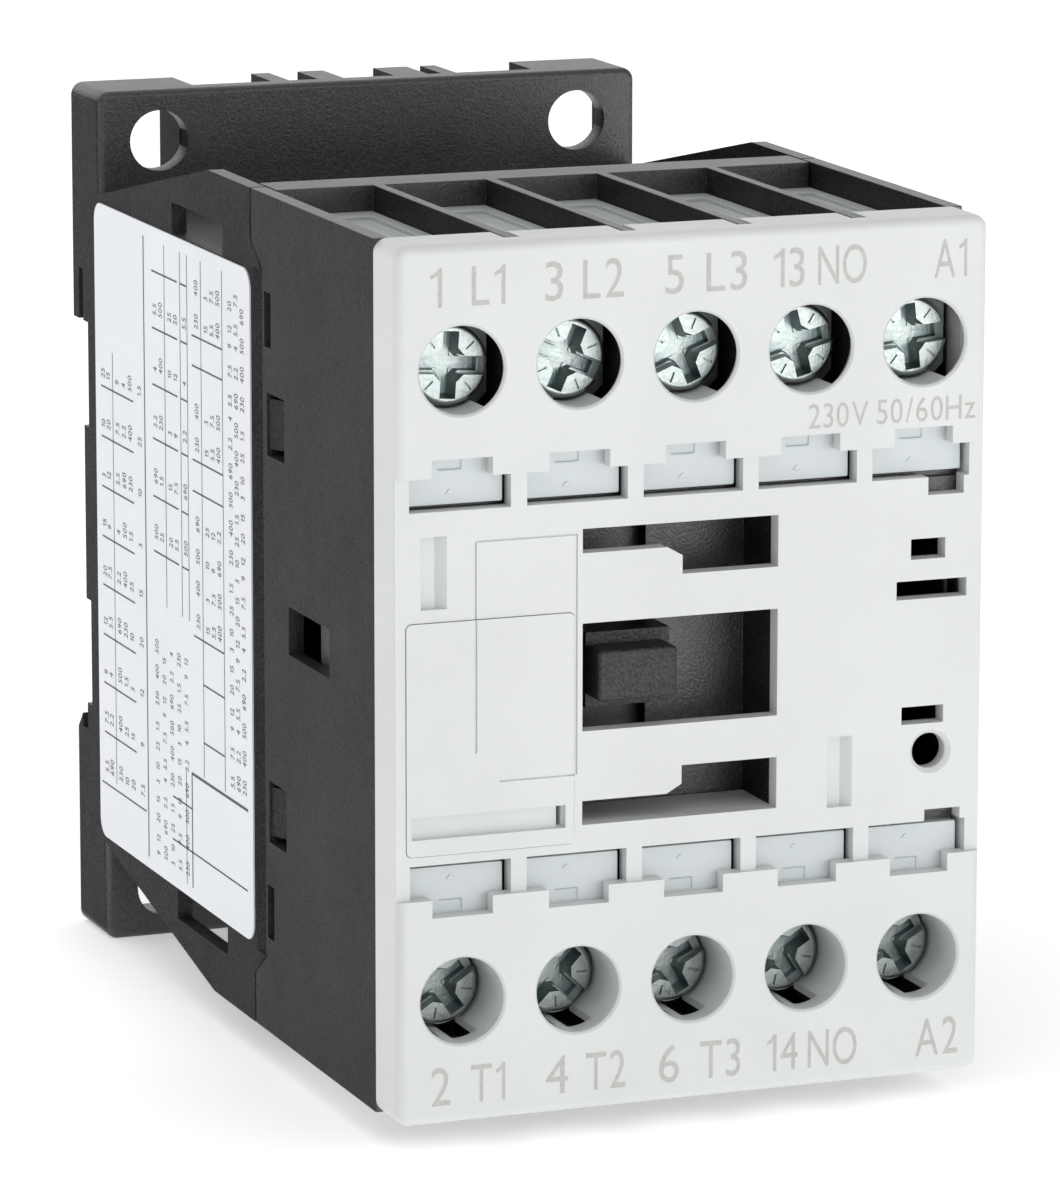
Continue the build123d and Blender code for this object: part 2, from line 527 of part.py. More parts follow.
TURNS = {1: [4, 24, -22, -14, -6], -1: [-34, 44, -28, 58, -30]}
for side, row in zip(SIDES, ("upper", "lower")):
    for number, c in enumerate(COLUMNS, start=1):
        head_y = HEAD_DEPTH[side] - SEAT
        with BuildPart() as terminal_screw:
            with Locations(Location((c, head_y, side * SCREW_Z), (0, TURNS[side][number - 1], 0))):
                add(screw_form.part)
        finish(terminal_screw.part, f"terminal_screw_{row}_{number}")
        with BuildPart() as clamp_plate:
            with Locations((c, head_y + HEAD_T, side * SCREW_Z)):
                add(clamp_form.part)
        finish(clamp_plate.part, f"clamp_plate_{row}_{number}")

# ---------------------------------------------------------------- terminals and fixed contacts
for side, name in zip(SIDES, ("line_terminals", "load_terminals")):
    with BuildPart() as terminals:
        for c in POLES:
            x = around(c, STRIP_W / 2)
            block(x, (side * LEG_Z[0], side * 27), (TERMINAL_FRONT, TERMINAL_FRONT + STRIP))
            block(x, (side * LEG_Z[0], side * LEG_Z[1]), (TERMINAL_FRONT, FIXED_RAIL + STRIP))
            block(x, (side * (TIP_Z - 1.5), side * LEG_Z[1]), (FIXED_RAIL, FIXED_RAIL + STRIP))
            rod(c, side * SCREW_Z, (10, 14), SHANK_HOLE_R, Mode.SUBTRACT)
    finish(terminals.part, name)

with BuildPart() as coil_terminals:
    for side in SIDES:
        x = around(COIL_X, 2.1)
        block(x, (side * LEG_Z[0], side * 27), (TERMINAL_FRONT, TERMINAL_FRONT + STRIP))
        block(x, (side * LEG_Z[0], side * LEG_Z[1]), (TERMINAL_FRONT, 47))
        rod(COIL_X, side * SCREW_Z, (10, 14), SHANK_HOLE_R, Mode.SUBTRACT)
finish(coil_terminals.part, "coil_terminals")

with BuildPart() as fixed_contact_tips:
    for side in SIDES:
        for c in POLES:
            rod(c, side * TIP_Z, (FIXED_RAIL - TIP_T, FIXED_RAIL), 1.4)
finish(fixed_contact_tips.part, "fixed_contact_tips")

# ---------------------------------------------------------------- moving contacts
BRIDGE_W = 5.0
for number, c in enumerate(POLES, start=1):
    with BuildPart() as contact_bridge:
        block(around(c, BRIDGE_W / 2), around(0, 8.5), (BRIDGE_FRONT, BRIDGE_FRONT + BRIDGE_T))
        fillet(contact_bridge.edges().filter_by(Axis.Y), 1.0)
    finish(contact_bridge.part, f"contact_bridge_{number}")
    with BuildPart() as moving_tips:
        for side in SIDES:
            rod(c, side * TIP_Z, (BRIDGE_FRONT + BRIDGE_T, FIXED_RAIL - TIP_T - CONTACT_GAP - 0.02), 1.4)
    finish(moving_tips.part, f"moving_tips_{number}")

# ---------------------------------------------------------------- contact carrier
PIN_DEPTH = 35.8
PIN_R = 1.5
ARM_X = (6.7, 8.3)
RETURN_X = 11.0
with BuildPart() as contact_carrier:
    with BuildSketch(facing(3.2)):
        with Locations((sum(NOSE_X) / 2, 0)):
            RectangleRounded(NOSE_X[1] - NOSE_X[0], 2 * NOSE_Z, 0.3)
    extrude(amount=3.2 - NOSE_FRONT)
    nose_rim = contact_carrier.faces().sort_by(Axis.Y)[0].edges()
    fillet(nose_rim, 0.25)
    block((NOSE_X[0], NOSE_X[1] + 0.4), around(0, 2.7), (2.8, BEAM[0] + 1))
    block(CARRIER_X, around(0, CARRIER_Z), BEAM)
    block(CARRIER_X, around(0, 2.5), SEAT_BEAM)
    # webs on both sides of every bridge
    for x in BETWEEN[:3]:
        post = around(x, POLE_PITCH / 2 - BRIDGE_W / 2 - 0.3)
        block(post, around(0, CARRIER_Z), (BEAM[1] - 0.5, SEAT_BEAM[1]))
    block((CARRIER_X[0], POLES[0] - BRIDGE_W / 2 - 0.3), around(0, CARRIER_Z), (BEAM[1] - 0.5, SEAT_BEAM[1]))
    block((POLES[3] + BRIDGE_W / 2 + 0.3, CARRIER_X[1]), around(0, CARRIER_Z), (BEAM[1] - 0.5, SEAT_BEAM[1]))
    # legs, rear plate and the two arms that hold the armature
    for x in BETWEEN[:3]:
        block(around(x, 1.4), around(0, 2.5), (SEAT_BEAM[1] - 1, REAR_PLATE[1]))
    block((-14.6, CARRIER_X[1]), around(0, 6.0), REAR_PLATE)
    for side in SIDES:
        block((side * ARM_X[0], side * ARM_X[1]), around(0, 3.2), (REAR_PLATE[0], PIN_DEPTH + 2.6))
        cross_rod(sorted((side * 5, side * 10)), 0, PIN_DEPTH, PIN_R, Mode.SUBTRACT)
finish(contact_carrier.part, "contact_carrier")

# ---------------------------------------------------------------- springs
# each form is a round wire wound around the depth axis, with its front end at the origin
CONTACT_SPRING = {"wire": 0.28, "radius": 1.5, "length": BRIDGE_FRONT - BEAM[1], "turns": 3.5}
RETURN_SPRING = {"wire": 0.35, "radius": 1.7, "length": BOBBIN[0] - REAR_PLATE[1], "turns": 7.5}
for kind, places, name in (
        (CONTACT_SPRING, [(c, BEAM[1] - SEAT, 0) for c in POLES], "contact_springs"),
        (RETURN_SPRING, [(x, REAR_PLATE[1] - SEAT, 0) for x in (-RETURN_X, RETURN_X)], "return_springs")):
    rise = kind["length"] - 2 * kind["wire"] - 0.06
    with BuildPart() as spring_form:
        with BuildLine() as coil_path:
            Helix(pitch=rise / kind["turns"], height=rise, radius=kind["radius"],
                  center=(0, kind["wire"] + 0.03, 0), direction=(0, 1, 0))
        with BuildSketch(Plane(coil_path.line @ 0, z_dir=coil_path.line % 0)):
            Circle(kind["wire"])
        sweep()
    with BuildPart() as springs:
        with Locations(*places):
            add(spring_form.part)
    finish(springs.part, name)

# ---------------------------------------------------------------- armature
RIVET_R = 1.2
ARMATURE_RIVETS = [(-16.25, 36.0), (-9.0, 36.0), (9.0, 36.0), (16.25, 36.0)]
with BuildPart() as armature:
    block(around(0, STACK), around(0, CORE_Z), ARMATURE_BACK)
    block(around(0, STACK), around(0, CENTRE_LIMB), (ARMATURE_BACK[1], POLE_FACE - STROKE - 0.1))
    for side in SIDES:
        block(around(0, STACK), (side * LIMB_Z[0], side * LIMB_Z[1]), (ARMATURE_BACK[1], POLE_FACE - STROKE))
    cross_rod((-10, 10), 0, PIN_DEPTH, PIN_R + GAP, Mode.SUBTRACT)
    for z, depth in ARMATURE_RIVETS:
        cross_rod((-10, 10), z, depth, RIVET_R, Mode.SUBTRACT)
finish(armature.part, "armature")

with BuildPart() as armature_rivets:
    for z, depth in ARMATURE_RIVETS:
        cross_rod((-STACK, STACK), z, depth, RIVET_R)
        for side in SIDES:
            cross_rod(sorted((side * STACK, side * (STACK + 0.6))), z, depth, 1.8)
finish(armature_rivets.part, "armature_rivets")

with BuildPart() as armature_pin:
    cross_rod((-ARM_X[1] - 0.4, ARM_X[1] + 0.4), 0, PIN_DEPTH, PIN_R)
    chamfer(armature_pin.edges().filter_by(GeomType.CIRCLE), 0.25)
finish(armature_pin.part, "armature_pin")

with BuildPart() as armature_cushion:
    block(around(0, 5.5), around(0, 5.5), (REAR_PLATE[1], ARMATURE_BACK[0]))
    fillet(armature_cushion.edges().filter_by(Axis.Y), 1.0)
finish(armature_cushion.part, "armature_cushion")

# ---------------------------------------------------------------- yoke
RING_T = 1.1
YOKE_RIVETS = [(-16.25, 65.75), (-9.0, 65.75), (9.0, 65.75), (16.25, 65.75), (-16.25, 56), (16.25, 56)]
RING_Z = 15.8
with BuildPart() as magnet_yoke:
    block(around(0, STACK), around(0, CORE_Z), YOKE_BACK)
    block(around(0, STACK), around(0, CENTRE_LIMB), (POLE_FACE + 0.1, YOKE_BACK[0]))
    for side in SIDES:
        block(around(0, STACK), (side * LIMB_Z[0], side * LIMB_Z[1]), (POLE_FACE, YOKE_BACK[0]))
        block(around(0, STACK + 1), (side * (RING_Z - GAP), side * (RING_Z + 1 + GAP)),
              (POLE_FACE - 1, POLE_FACE + 0.3 + RING_T + GAP), Mode.SUBTRACT)
    for z, depth in YOKE_RIVETS:
        cross_rod((-10, 10), z, depth, RIVET_R, Mode.SUBTRACT)
finish(magnet_yoke.part, "magnet_yoke")

with BuildPart() as shading_rings:
    for side in SIDES:
        depth = (POLE_FACE + 0.3, POLE_FACE + 0.3 + RING_T)
        block(around(0, STACK + 1), (side * RING_Z, side * (CORE_Z + 1.05)), depth)
        block(around(0, STACK + GAP), (side * (RING_Z + 1), side * (CORE_Z + GAP)), (50, 53), Mode.SUBTRACT)
finish(shading_rings.part, "shading_rings")

with BuildPart() as yoke_rivets:
    for z, depth in YOKE_RIVETS:
        cross_rod((-STACK, STACK), z, depth, RIVET_R)
        for side in SIDES:
            cross_rod(sorted((side * STACK, side * (STACK + 0.6))), z, depth, 1.8)
finish(yoke_rivets.part, "yoke_rivets")

with BuildPart() as yoke_pad:
    block(around(0, STACK - 0.5), around(0, CORE_Z - 1), (YOKE_BACK[1], BASE_FLOOR))
finish(yoke_pad.part, "yoke_pad")

# ---------------------------------------------------------------- coil
TUBE_X = STACK + BORE_GAP + TUBE_WALL
TUBE_Z = CENTRE_LIMB + BORE_GAP + TUBE_WALL
WOUND = (12.4, 11.6)
with BuildPart() as coil_bobbin:
    block(around(0, TUBE_X), around(0, TUBE_Z), BOBBIN)
    for front in (BOBBIN[0], BOBBIN[1] - FLANGE[2]):
        with BuildSketch(facing(front + FLANGE[2])):
            RectangleRounded(2 * FLANGE[0], 2 * FLANGE[1], 1.5)
        extrude(amount=FLANGE[2])
    bore = (BOBBIN[0] - 1, BOBBIN[1] + 1)
    block(around(0, STACK + BORE_GAP), around(0, CENTRE_LIMB + BORE_GAP), bore, Mode.SUBTRACT)
finish(coil_bobbin.part, "coil_bobbin")

with BuildPart() as coil_winding:
    wound_depth = (BOBBIN[0] + FLANGE[2] + GAP, BOBBIN[1] - FLANGE[2] - GAP)
    with BuildSketch(facing(wound_depth[1])):
        RectangleRounded(2 * WOUND[0], 2 * WOUND[1], 3.0)
        Rectangle(2 * (TUBE_X + GAP), 2 * (TUBE_Z + GAP), mode=Mode.SUBTRACT)
    extrude(amount=wound_depth[1] - wound_depth[0])
finish(coil_winding.part, "coil_winding")

LEAD_DEPTH = 45.6
LEAD_R = 0.35
with BuildPart() as coil_leads:
    for side in SIDES:
        with BuildLine(facing(LEAD_DEPTH)) as lead_path:
            leg_end = side * (LEG_Z[0] - 0.02)
            FilletPolyline((WOUND[0] + 0.02, side * 8), (COIL_X, side * 8), (COIL_X, leg_end), radius=1.5)
        with BuildSketch(Plane(lead_path.line @ 0, z_dir=lead_path.line % 0)):
            Circle(LEAD_R)
        sweep()
finish(coil_leads.part, "coil_leads")
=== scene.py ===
import json
import math

import bmesh
import bpy
from mathutils import Matrix, Vector


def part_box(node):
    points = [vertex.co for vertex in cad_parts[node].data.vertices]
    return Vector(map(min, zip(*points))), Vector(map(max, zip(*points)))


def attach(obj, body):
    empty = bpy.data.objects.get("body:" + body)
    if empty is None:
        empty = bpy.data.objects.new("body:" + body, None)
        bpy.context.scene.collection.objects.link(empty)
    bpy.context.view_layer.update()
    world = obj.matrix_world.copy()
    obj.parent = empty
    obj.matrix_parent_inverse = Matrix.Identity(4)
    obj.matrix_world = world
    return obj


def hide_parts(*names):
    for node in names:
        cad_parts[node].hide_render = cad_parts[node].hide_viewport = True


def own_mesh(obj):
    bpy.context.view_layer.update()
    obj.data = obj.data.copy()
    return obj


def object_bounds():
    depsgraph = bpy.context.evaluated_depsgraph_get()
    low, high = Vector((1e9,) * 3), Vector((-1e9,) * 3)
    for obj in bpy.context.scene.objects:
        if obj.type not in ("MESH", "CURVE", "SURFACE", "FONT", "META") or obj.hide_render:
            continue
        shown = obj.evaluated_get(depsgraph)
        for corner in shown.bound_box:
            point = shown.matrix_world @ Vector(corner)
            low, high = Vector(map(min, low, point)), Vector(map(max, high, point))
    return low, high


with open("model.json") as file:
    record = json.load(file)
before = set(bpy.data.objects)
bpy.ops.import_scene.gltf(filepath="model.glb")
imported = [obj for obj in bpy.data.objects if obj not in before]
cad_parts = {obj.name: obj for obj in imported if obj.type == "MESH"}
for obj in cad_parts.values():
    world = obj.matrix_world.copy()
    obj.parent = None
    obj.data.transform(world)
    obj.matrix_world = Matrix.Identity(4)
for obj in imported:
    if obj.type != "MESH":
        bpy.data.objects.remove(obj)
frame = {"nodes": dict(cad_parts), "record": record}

CAD_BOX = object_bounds()
MM = 0.001                  # all lengths below are in millimetres, unless a comment says metres

# ------------------------------------------------------------------ places taken from the frame
COVER_LOW, COVER_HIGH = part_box("front_cover")
SEAT_DEPTH = -COVER_LOW.y / MM              # front face to rail seat, in millimetres
LABEL_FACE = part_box("rating_label")[0].x / MM


def srgb(red, green, blue):
    """Linear colour of an 8-bit screen colour."""
    return tuple(((c / 255 + 0.055) / 1.055) ** 2.4 if c > 10 else c / 255 / 12.92
                 for c in (red, green, blue))


# ------------------------------------------------------------------ materials
class Shader:
    """Small helper that builds one node material, with coordinates in millimetres."""

    def __init__(self, name):
        self.material = bpy.data.materials.new(name)
        self.material.use_nodes = True
        self.tree = self.material.node_tree
        self.main = self.tree.nodes["Principled BSDF"]
        coordinates = self.tree.nodes.new("ShaderNodeTexCoord")
        scale = self.tree.nodes.new("ShaderNodeMapping")
        scale.inputs["Scale"].default_value = (1000, 1000, 1000)
        self.link(coordinates.outputs["Object"], scale.inputs["Vector"])
        self.place = scale.outputs["Vector"]

    def link(self, start, end):
        """Wires one socket to another."""
        self.tree.links.new(start, end)

    def noise(self, scale, detail=3.0, rough=0.5, stretch=(1, 1, 1)):
        """Noise with about `scale` grains per millimetre."""
        source = self.place
        if stretch != (1, 1, 1):
            mapping = self.tree.nodes.new("ShaderNodeMapping")
            mapping.inputs["Scale"].default_value = stretch
            self.link(self.place, mapping.inputs["Vector"])
            source = mapping.outputs["Vector"]
        node = self.tree.nodes.new("ShaderNodeTexNoise")
        node.inputs["Scale"].default_value = scale
        node.inputs["Detail"].default_value = detail
        node.inputs["Roughness"].default_value = rough
        self.link(source, node.inputs["Vector"])
        return node.outputs["Fac"]

    def voronoi(self, scale):
        """Rounded cells, with about `scale` cells per millimetre."""
        node = self.tree.nodes.new("ShaderNodeTexVoronoi")
        node.inputs["Scale"].default_value = scale
        self.link(self.place, node.inputs["Vector"])
        return node.outputs["Distance"]

    def ramp(self, value, low, high, start=0.3, end=0.7):
        """Turns a value into a colour between two linear colours."""
        node = self.tree.nodes.new("ShaderNodeValToRGB")
        node.color_ramp.elements[0].position = start
        node.color_ramp.elements[1].position = end
        node.color_ramp.elements[0].color = (*low, 1)
        node.color_ramp.elements[1].color = (*high, 1)
        self.link(value, node.inputs["Fac"])
        return node.outputs["Color"]

    def spread(self, value, low, high, start=0.0, end=1.0):
        """Maps start to end onto low to high."""
        node = self.tree.nodes.new("ShaderNodeMapRange")
        node.inputs["From Min"].default_value = start
        node.inputs["From Max"].default_value = end
        node.inputs["To Min"].default_value = low
        node.inputs["To Max"].default_value = high
        self.link(value, node.inputs["Value"])
        return node.outputs["Result"]

    def blend(self, first, second, share=0.5):
        """Mixes two values, with `share` of the second one."""
        node = self.tree.nodes.new("ShaderNodeMix")
        node.data_type = "FLOAT"
        node.inputs["Factor"].default_value = share
        self.link(first, node.inputs[2])
        self.link(second, node.inputs[3])
        return node.outputs[0]

    def bump(self, height, strength, distance_mm):
        """Roughens the surface by a height value."""
        node = self.tree.nodes.new("ShaderNodeBump")
        node.inputs["Strength"].default_value = strength
        node.inputs["Distance"].default_value = distance_mm * MM
        self.link(height, node.inputs["Height"])
        self.link(node.outputs["Normal"], self.main.inputs["Normal"])

    def set(self, **values):
        """Sets inputs of the main shader, with _ for a space in their names."""
        for key, value in values.items():
            self.main.inputs[key.replace("_", " ")].default_value = value


def plastic(name, colour, spread, rough, grain, depth, strength, specular=0.5, speckle=0.5, shaded_side_specular=None):
    """Moulded plastic: spark-eroded grain, faint flow clouds and uneven sheen."""
    s = Shader(name)
    low = tuple(c * (1 - spread) for c in colour)
    high = tuple(min(1, c * (1 + spread)) for c in colour)
    clouds = s.noise(0.12, 4)
    grains = s.noise(grain, 2, 0.7)
    tone = s.ramp(s.blend(clouds, grains, speckle), low, high, 0.4, 0.6)
    s.link(tone, s.main.inputs["Base Color"])
    sheen = s.blend(s.noise(0.4, 3), grains, 0.5)
    s.link(s.spread(sheen, rough - 0.1, rough + 0.1), s.main.inputs["Roughness"])
    s.bump(grains, strength, depth)
    if shaded_side_specular is None:
        s.set(Specular_IOR_Level=specular)
    else:
        # painted shade: the side faces get a lower specular level than the front and top, so they stay darker
        geometry = s.tree.nodes.new("ShaderNodeNewGeometry")
        split = s.tree.nodes.new("ShaderNodeSeparateXYZ")
        size = s.tree.nodes.new("ShaderNodeMath")
        size.operation = "ABSOLUTE"
        s.link(geometry.outputs["True Normal"], split.inputs[0])
        s.link(split.outputs["X"], size.inputs[0])
        level = s.spread(size.outputs[0], specular, shaded_side_specular, 0.75, 0.97)
        s.link(level, s.main.inputs["Specular IOR Level"])
    return s.material


SHADE_REACH = 1.1             # how far from a wall the painted shade in a punched recess reaches


def zinc(name, colour, rough, recess_shade):
    """Bright zinc plating: blotchy, finely scratched and tinted green-grey, with painted shade that darkens
    the punched recesses.
    """
    s = Shader(name)
    s.set(Metallic=1.0)
    tint = tuple(c * t for c, t in zip(colour, (0.86, 0.91, 0.90)))
    blotch = s.noise(1.6, 5, 0.6)
    plating = s.ramp(blotch, tint, colour, 0.38, 0.62)
    # painted shade: ambient occlusion darkens the colour near walls, so the punched recesses look shaded
    shade = s.tree.nodes.new("ShaderNodeAmbientOcclusion")
    shade.only_local = True
    shade.inputs["Distance"].default_value = SHADE_REACH * MM
    depth = s.ramp(shade.outputs["AO"], tuple(recess_shade * t for t in (0.92, 1.0, 1.04)), (1, 1, 1), 0.45, 0.9)
    mix = s.tree.nodes.new("ShaderNodeMix")
    mix.data_type = "RGBA"
    mix.blend_type = "MULTIPLY"
    mix.inputs["Factor"].default_value = 1.0
    s.link(plating, mix.inputs[6])
    s.link(depth, mix.inputs[7])
    s.link(mix.outputs[2], s.main.inputs["Base Color"])
    scratch = s.noise(9, 2, 0.5, (1, 1, 0.12))
    s.link(s.spread(s.blend(blotch, scratch, 0.6), rough - 0.1, rough + 0.22), s.main.inputs["Roughness"])
    s.bump(s.blend(s.noise(3.0, 4, 0.6), scratch, 0.35), 0.6, 0.06)
    return s.material


def metal(name, colour, rough, grain=4.0, stretch=(1, 1, 1), depth=0.01):
    """Plain metal with a drawn or rolled grain."""
    s = Shader(name)
    s.set(Metallic=1.0)
    lines = s.noise(grain, 3, 0.6, stretch)
    low = tuple(c * 0.78 for c in colour)
    s.link(s.ramp(s.blend(lines, s.noise(0.5, 4), 0.5), low, colour), s.main.inputs["Base Color"])
    s.link(s.spread(lines, rough - 0.08, rough + 0.12), s.main.inputs["Roughness"])
    s.bump(lines, 0.4, depth)
    return s.material


def laminated(name):
    """Edges of stamped iron sheets, 0.5 mm thick, stacked along X."""
    s = Shader(name)
    s.set(Metallic=0.9)
    sheets = s.tree.nodes.new("ShaderNodeTexWave")
    sheets.bands_direction = "X"
    sheets.inputs["Scale"].default_value = 0.62
    sheets.inputs["Distortion"].default_value = 0.15
    s.link(s.place, sheets.inputs["Vector"])
    colour = s.ramp(sheets.outputs["Fac"], srgb(52, 54, 60), srgb(132, 136, 142), 0.05, 0.4)
    s.link(colour, s.main.inputs["Base Color"])
    s.link(s.spread(s.noise(2, 3), 0.3, 0.55), s.main.inputs["Roughness"])
    s.bump(sheets.outputs["Fac"], 0.5, 0.06)
    return s.material


def wound(name):
    """Layers of enamelled wire, seen from outside as fine parallel turns."""
    s = Shader(name)
    s.set(Metallic=0.7)
    turns = s.tree.nodes.new("ShaderNodeTexWave")
    turns.bands_direction = "Y"
    turns.inputs["Scale"].default_value = 1.6
    turns.inputs["Distortion"].default_value = 0.3
    s.link(s.place, turns.inputs["Vector"])
    colour = s.ramp(turns.outputs["Fac"], srgb(84, 34, 16), srgb(196, 104, 52), 0.1, 0.8)
    s.link(colour, s.main.inputs["Base Color"])
    s.link(s.spread(s.noise(1, 3), 0.25, 0.45), s.main.inputs["Roughness"])
    s.bump(turns.outputs["Fac"], 0.8, 0.1)
    return s.material


def rubber(name):
    """Dull black rubber with a pebbled skin."""
    s = Shader(name)
    s.link(s.ramp(s.noise(1.5, 5), srgb(22, 22, 23), srgb(44, 44, 46)), s.main.inputs["Base Color"])
    s.link(s.spread(s.noise(4, 3), 0.7, 0.9), s.main.inputs["Roughness"])
    s.bump(s.voronoi(5), 0.4, 0.03)
    return s.material


def film(name, colour):
    """Printed label film: nearly smooth, with a slight orange peel."""
    s = Shader(name)
    low = tuple(c * 0.965 for c in colour)
    s.link(s.ramp(s.noise(0.08, 4), low, colour), s.main.inputs["Base Color"])
    s.link(s.spread(s.noise(1.2, 3), 0.32, 0.42), s.main.inputs["Roughness"])
    s.bump(s.noise(0.9, 2), 0.15, 0.02)
    return s.material


def ink(name, colour, rough=0.5):
    """Printed or laser-marked ink with slightly uneven density."""
    s = Shader(name)
    low = tuple(c * 0.88 for c in colour)
    s.link(s.ramp(s.noise(3.0, 4), low, colour, 0.3, 0.6), s.main.inputs["Base Color"])
    s.link(s.spread(s.noise(6, 2), rough - 0.05, rough + 0.08), s.main.inputs["Roughness"])
    s.bump(s.noise(8, 2), 0.3, 0.01)
    return s.material


FINISH = {
    "cover_grey": plastic("cover_grey", srgb(218, 221, 219), spread=0.02, rough=0.42, grain=7.0, depth=0.012,
                          strength=0.35, specular=0.4, speckle=0.3),
    "tag_white": plastic("tag_white", srgb(207, 213, 215), spread=0.015, rough=0.36, grain=4.0, depth=0.006,
                         strength=0.25, specular=0.4, speckle=0.3),
    "housing_black": plastic("housing_black", srgb(46, 42, 43), spread=0.5, rough=0.38, grain=4.5, depth=0.05,
                             strength=0.9, specular=1.0, speckle=0.8, shaded_side_specular=0.03),
    "plate_black": plastic("plate_black", srgb(43, 40, 41), spread=0.6, rough=0.38, grain=5.0, depth=0.06,
                           strength=0.9, specular=0.88, speckle=0.85, shaded_side_specular=0.018),
    "carrier_black": plastic("carrier_black", srgb(38, 36, 36), spread=0.9, rough=0.4, grain=4.0, depth=0.07,
                             strength=1.0, specular=0.45, speckle=0.9),
    "guide_grey": plastic("guide_grey", srgb(182, 188, 186), spread=0.03, rough=0.45, grain=6.0, depth=0.012,
                          strength=0.4),
    "bobbin_plastic": plastic("bobbin_plastic", srgb(150, 60, 46), spread=0.08, rough=0.4, grain=5.0,
                              depth=0.02, strength=0.4),
    "label_film": film("label_film", srgb(238, 241, 245)),
    "zinc_screw": zinc("zinc_screw", srgb(172, 178, 176), rough=0.26, recess_shade=0.72),
    "zinc_clamp": zinc("zinc_clamp", srgb(196, 202, 198), rough=0.36, recess_shade=0.6),
    "spring_steel": metal("spring_steel", srgb(176, 178, 182), rough=0.3, grain=5, stretch=(0.2, 1, 1)),
    "rivet_steel": metal("rivet_steel", srgb(178, 180, 184), rough=0.35),
    "lamination": laminated("lamination"),
    "copper": metal("copper", srgb(214, 140, 104), rough=0.32, grain=4, stretch=(1, 1, 0.15)),
    "winding_copper": wound("winding_copper"),
    "contact_silver": metal("contact_silver", srgb(214, 212, 204), rough=0.3, grain=6),
    "damper_rubber": rubber("damper_rubber"),
}
PRINT_GREY = ink("print_grey", srgb(192, 191, 187), 0.5)
PRINT_BLACK = ink("print_black", srgb(48, 50, 58), 0.45)

SLOT_OF = {part["node"]: part["material_slot"] for part in frame["record"]["subparts"]}
for name, piece in frame["nodes"].items():
    piece.data.materials.clear()
    piece.data.materials.append(FINISH[SLOT_OF[name]])


# ------------------------------------------------------------------ softened edges of the mouldings
EDGE_WIDTHS = {"front_cover": 0.08, "label_plate": 0.05, "front_housing": 0.12, "base_housing": 0.15,
               "contact_carrier": 0.1, "marking_tags_upper": 0.12, "marking_tags_lower": 0.12,
               "wire_guides_upper": 0.1, "wire_guides_lower": 0.1}
SHARP_ANGLE = 32            # degrees; flatter edges stay as they are
WELD_REACH = 1e-6           # metres


def soften(name, width_mm):
    """Rounds the sharp edges of a CAD node with modifiers, so its mesh stays as packed."""
    piece = frame["nodes"][name]
    weld = piece.modifiers.new("weld", "WELD")
    weld.merge_threshold = WELD_REACH
    bevel = piece.modifiers.new("round", "BEVEL")
    bevel.width = width_mm * MM
    bevel.segments = 2
    bevel.limit_method = "ANGLE"
    bevel.angle_limit = math.radians(SHARP_ANGLE)
    bevel.harden_normals = False
    bevel.use_clamp_overlap = True
    bevel.miter_outer = "MITER_ARC"


for name, width in EDGE_WIDTHS.items():
    soften(name, width)

# ------------------------------------------------------------------ lettering
# the typeface's own 1 is a plain bar, so this one has a flag; other letters are added as they are used
GLYPHS = {"1": ([(0.24, 0), (0.37, 0), (0.37, 1), (0.27, 1), (0.24, 0.8), (0, 0.72), (0, 0.82), (0.18, 0.9)],
                [(0, 1, 2, 3, 7, 4), (4, 7, 6, 5)]),
          " ": ([(0, 0), (0.12, 0)], [])}
LETTER_GAP = 0.17           # between letters, as a share of the cap height
CURVE_STEPS = 4             # facets on each curved stretch of a letter
SQUEEZE = 0.62              # width of letters that aren't fitted to a width, as a share of their own width


def outline(letter):
    """One flat letter of the built-in typeface, its left edge at zero, in the typeface's own size."""
    curve = bpy.data.curves.new("letter", "FONT")
    curve.body = letter
    curve.resolution_u = CURVE_STEPS
    temporary = bpy.data.objects.new("letter", curve)
    bpy.context.scene.collection.objects.link(temporary)
    bpy.context.view_layer.update()
    data = bpy.data.meshes.new_from_object(temporary)
    left = min(v.co.x for v in data.vertices)
    points = [(v.co.x - left, v.co.y) for v in data.vertices]
    faces = [tuple(f.vertices) for f in data.polygons]
    bpy.data.objects.remove(temporary)
    bpy.data.meshes.remove(data)
    bpy.data.curves.remove(curve)
    return points, faces


CAP_HEIGHT = max(y for x, y in outline("H")[0])


def glyph(letter):
    """One flat letter, its left edge at zero, scaled to a cap height of one."""
    if letter not in GLYPHS:
        points, faces = outline(letter)
        GLYPHS[letter] = ([(x / CAP_HEIGHT, y / CAP_HEIGHT) for x, y in points], faces)
    return GLYPHS[letter]


def write_text(mesh, text, start, height, place, width=None):
    """Adds a word at start with its cap height, all in millimetres, stretched to a width if one is given."""
    letters = []
    edge = 0.0
    for letter in text:
        points, faces = glyph(letter)
        letters.append((edge, points, faces))
        edge += max(x for x, y in points) + LETTER_GAP
    across = width / (edge - LETTER_GAP) if width else height * SQUEEZE
    for offset, points, faces in letters:
        made = [mesh.verts.new(place(start[0] + (offset + x) * across, start[1] + y * height))
                for x, y in points]
        for face in faces:
            mesh.faces.new([made[i] for i in face])


def add_print(name, mesh, material):
    """Turns a bmesh into a named piece of print that rides on the housing."""
    data = bpy.data.meshes.new(name)
    mesh.to_mesh(data)
    mesh.free()
    piece = bpy.data.objects.new(name, data)
    bpy.context.scene.collection.objects.link(piece)
    data.materials.append(material)
    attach(piece, "housing")


# ------------------------------------------------------------------ print on the cover
PRINT_RISE = 0.012          # the ink stands this far off its face


def on_cover(u, v):
    """Place on the cover's front face: u is x and v is z, so words read to the right."""
    return Vector((u, -PRINT_RISE - SEAT_DEPTH, v)) * MM


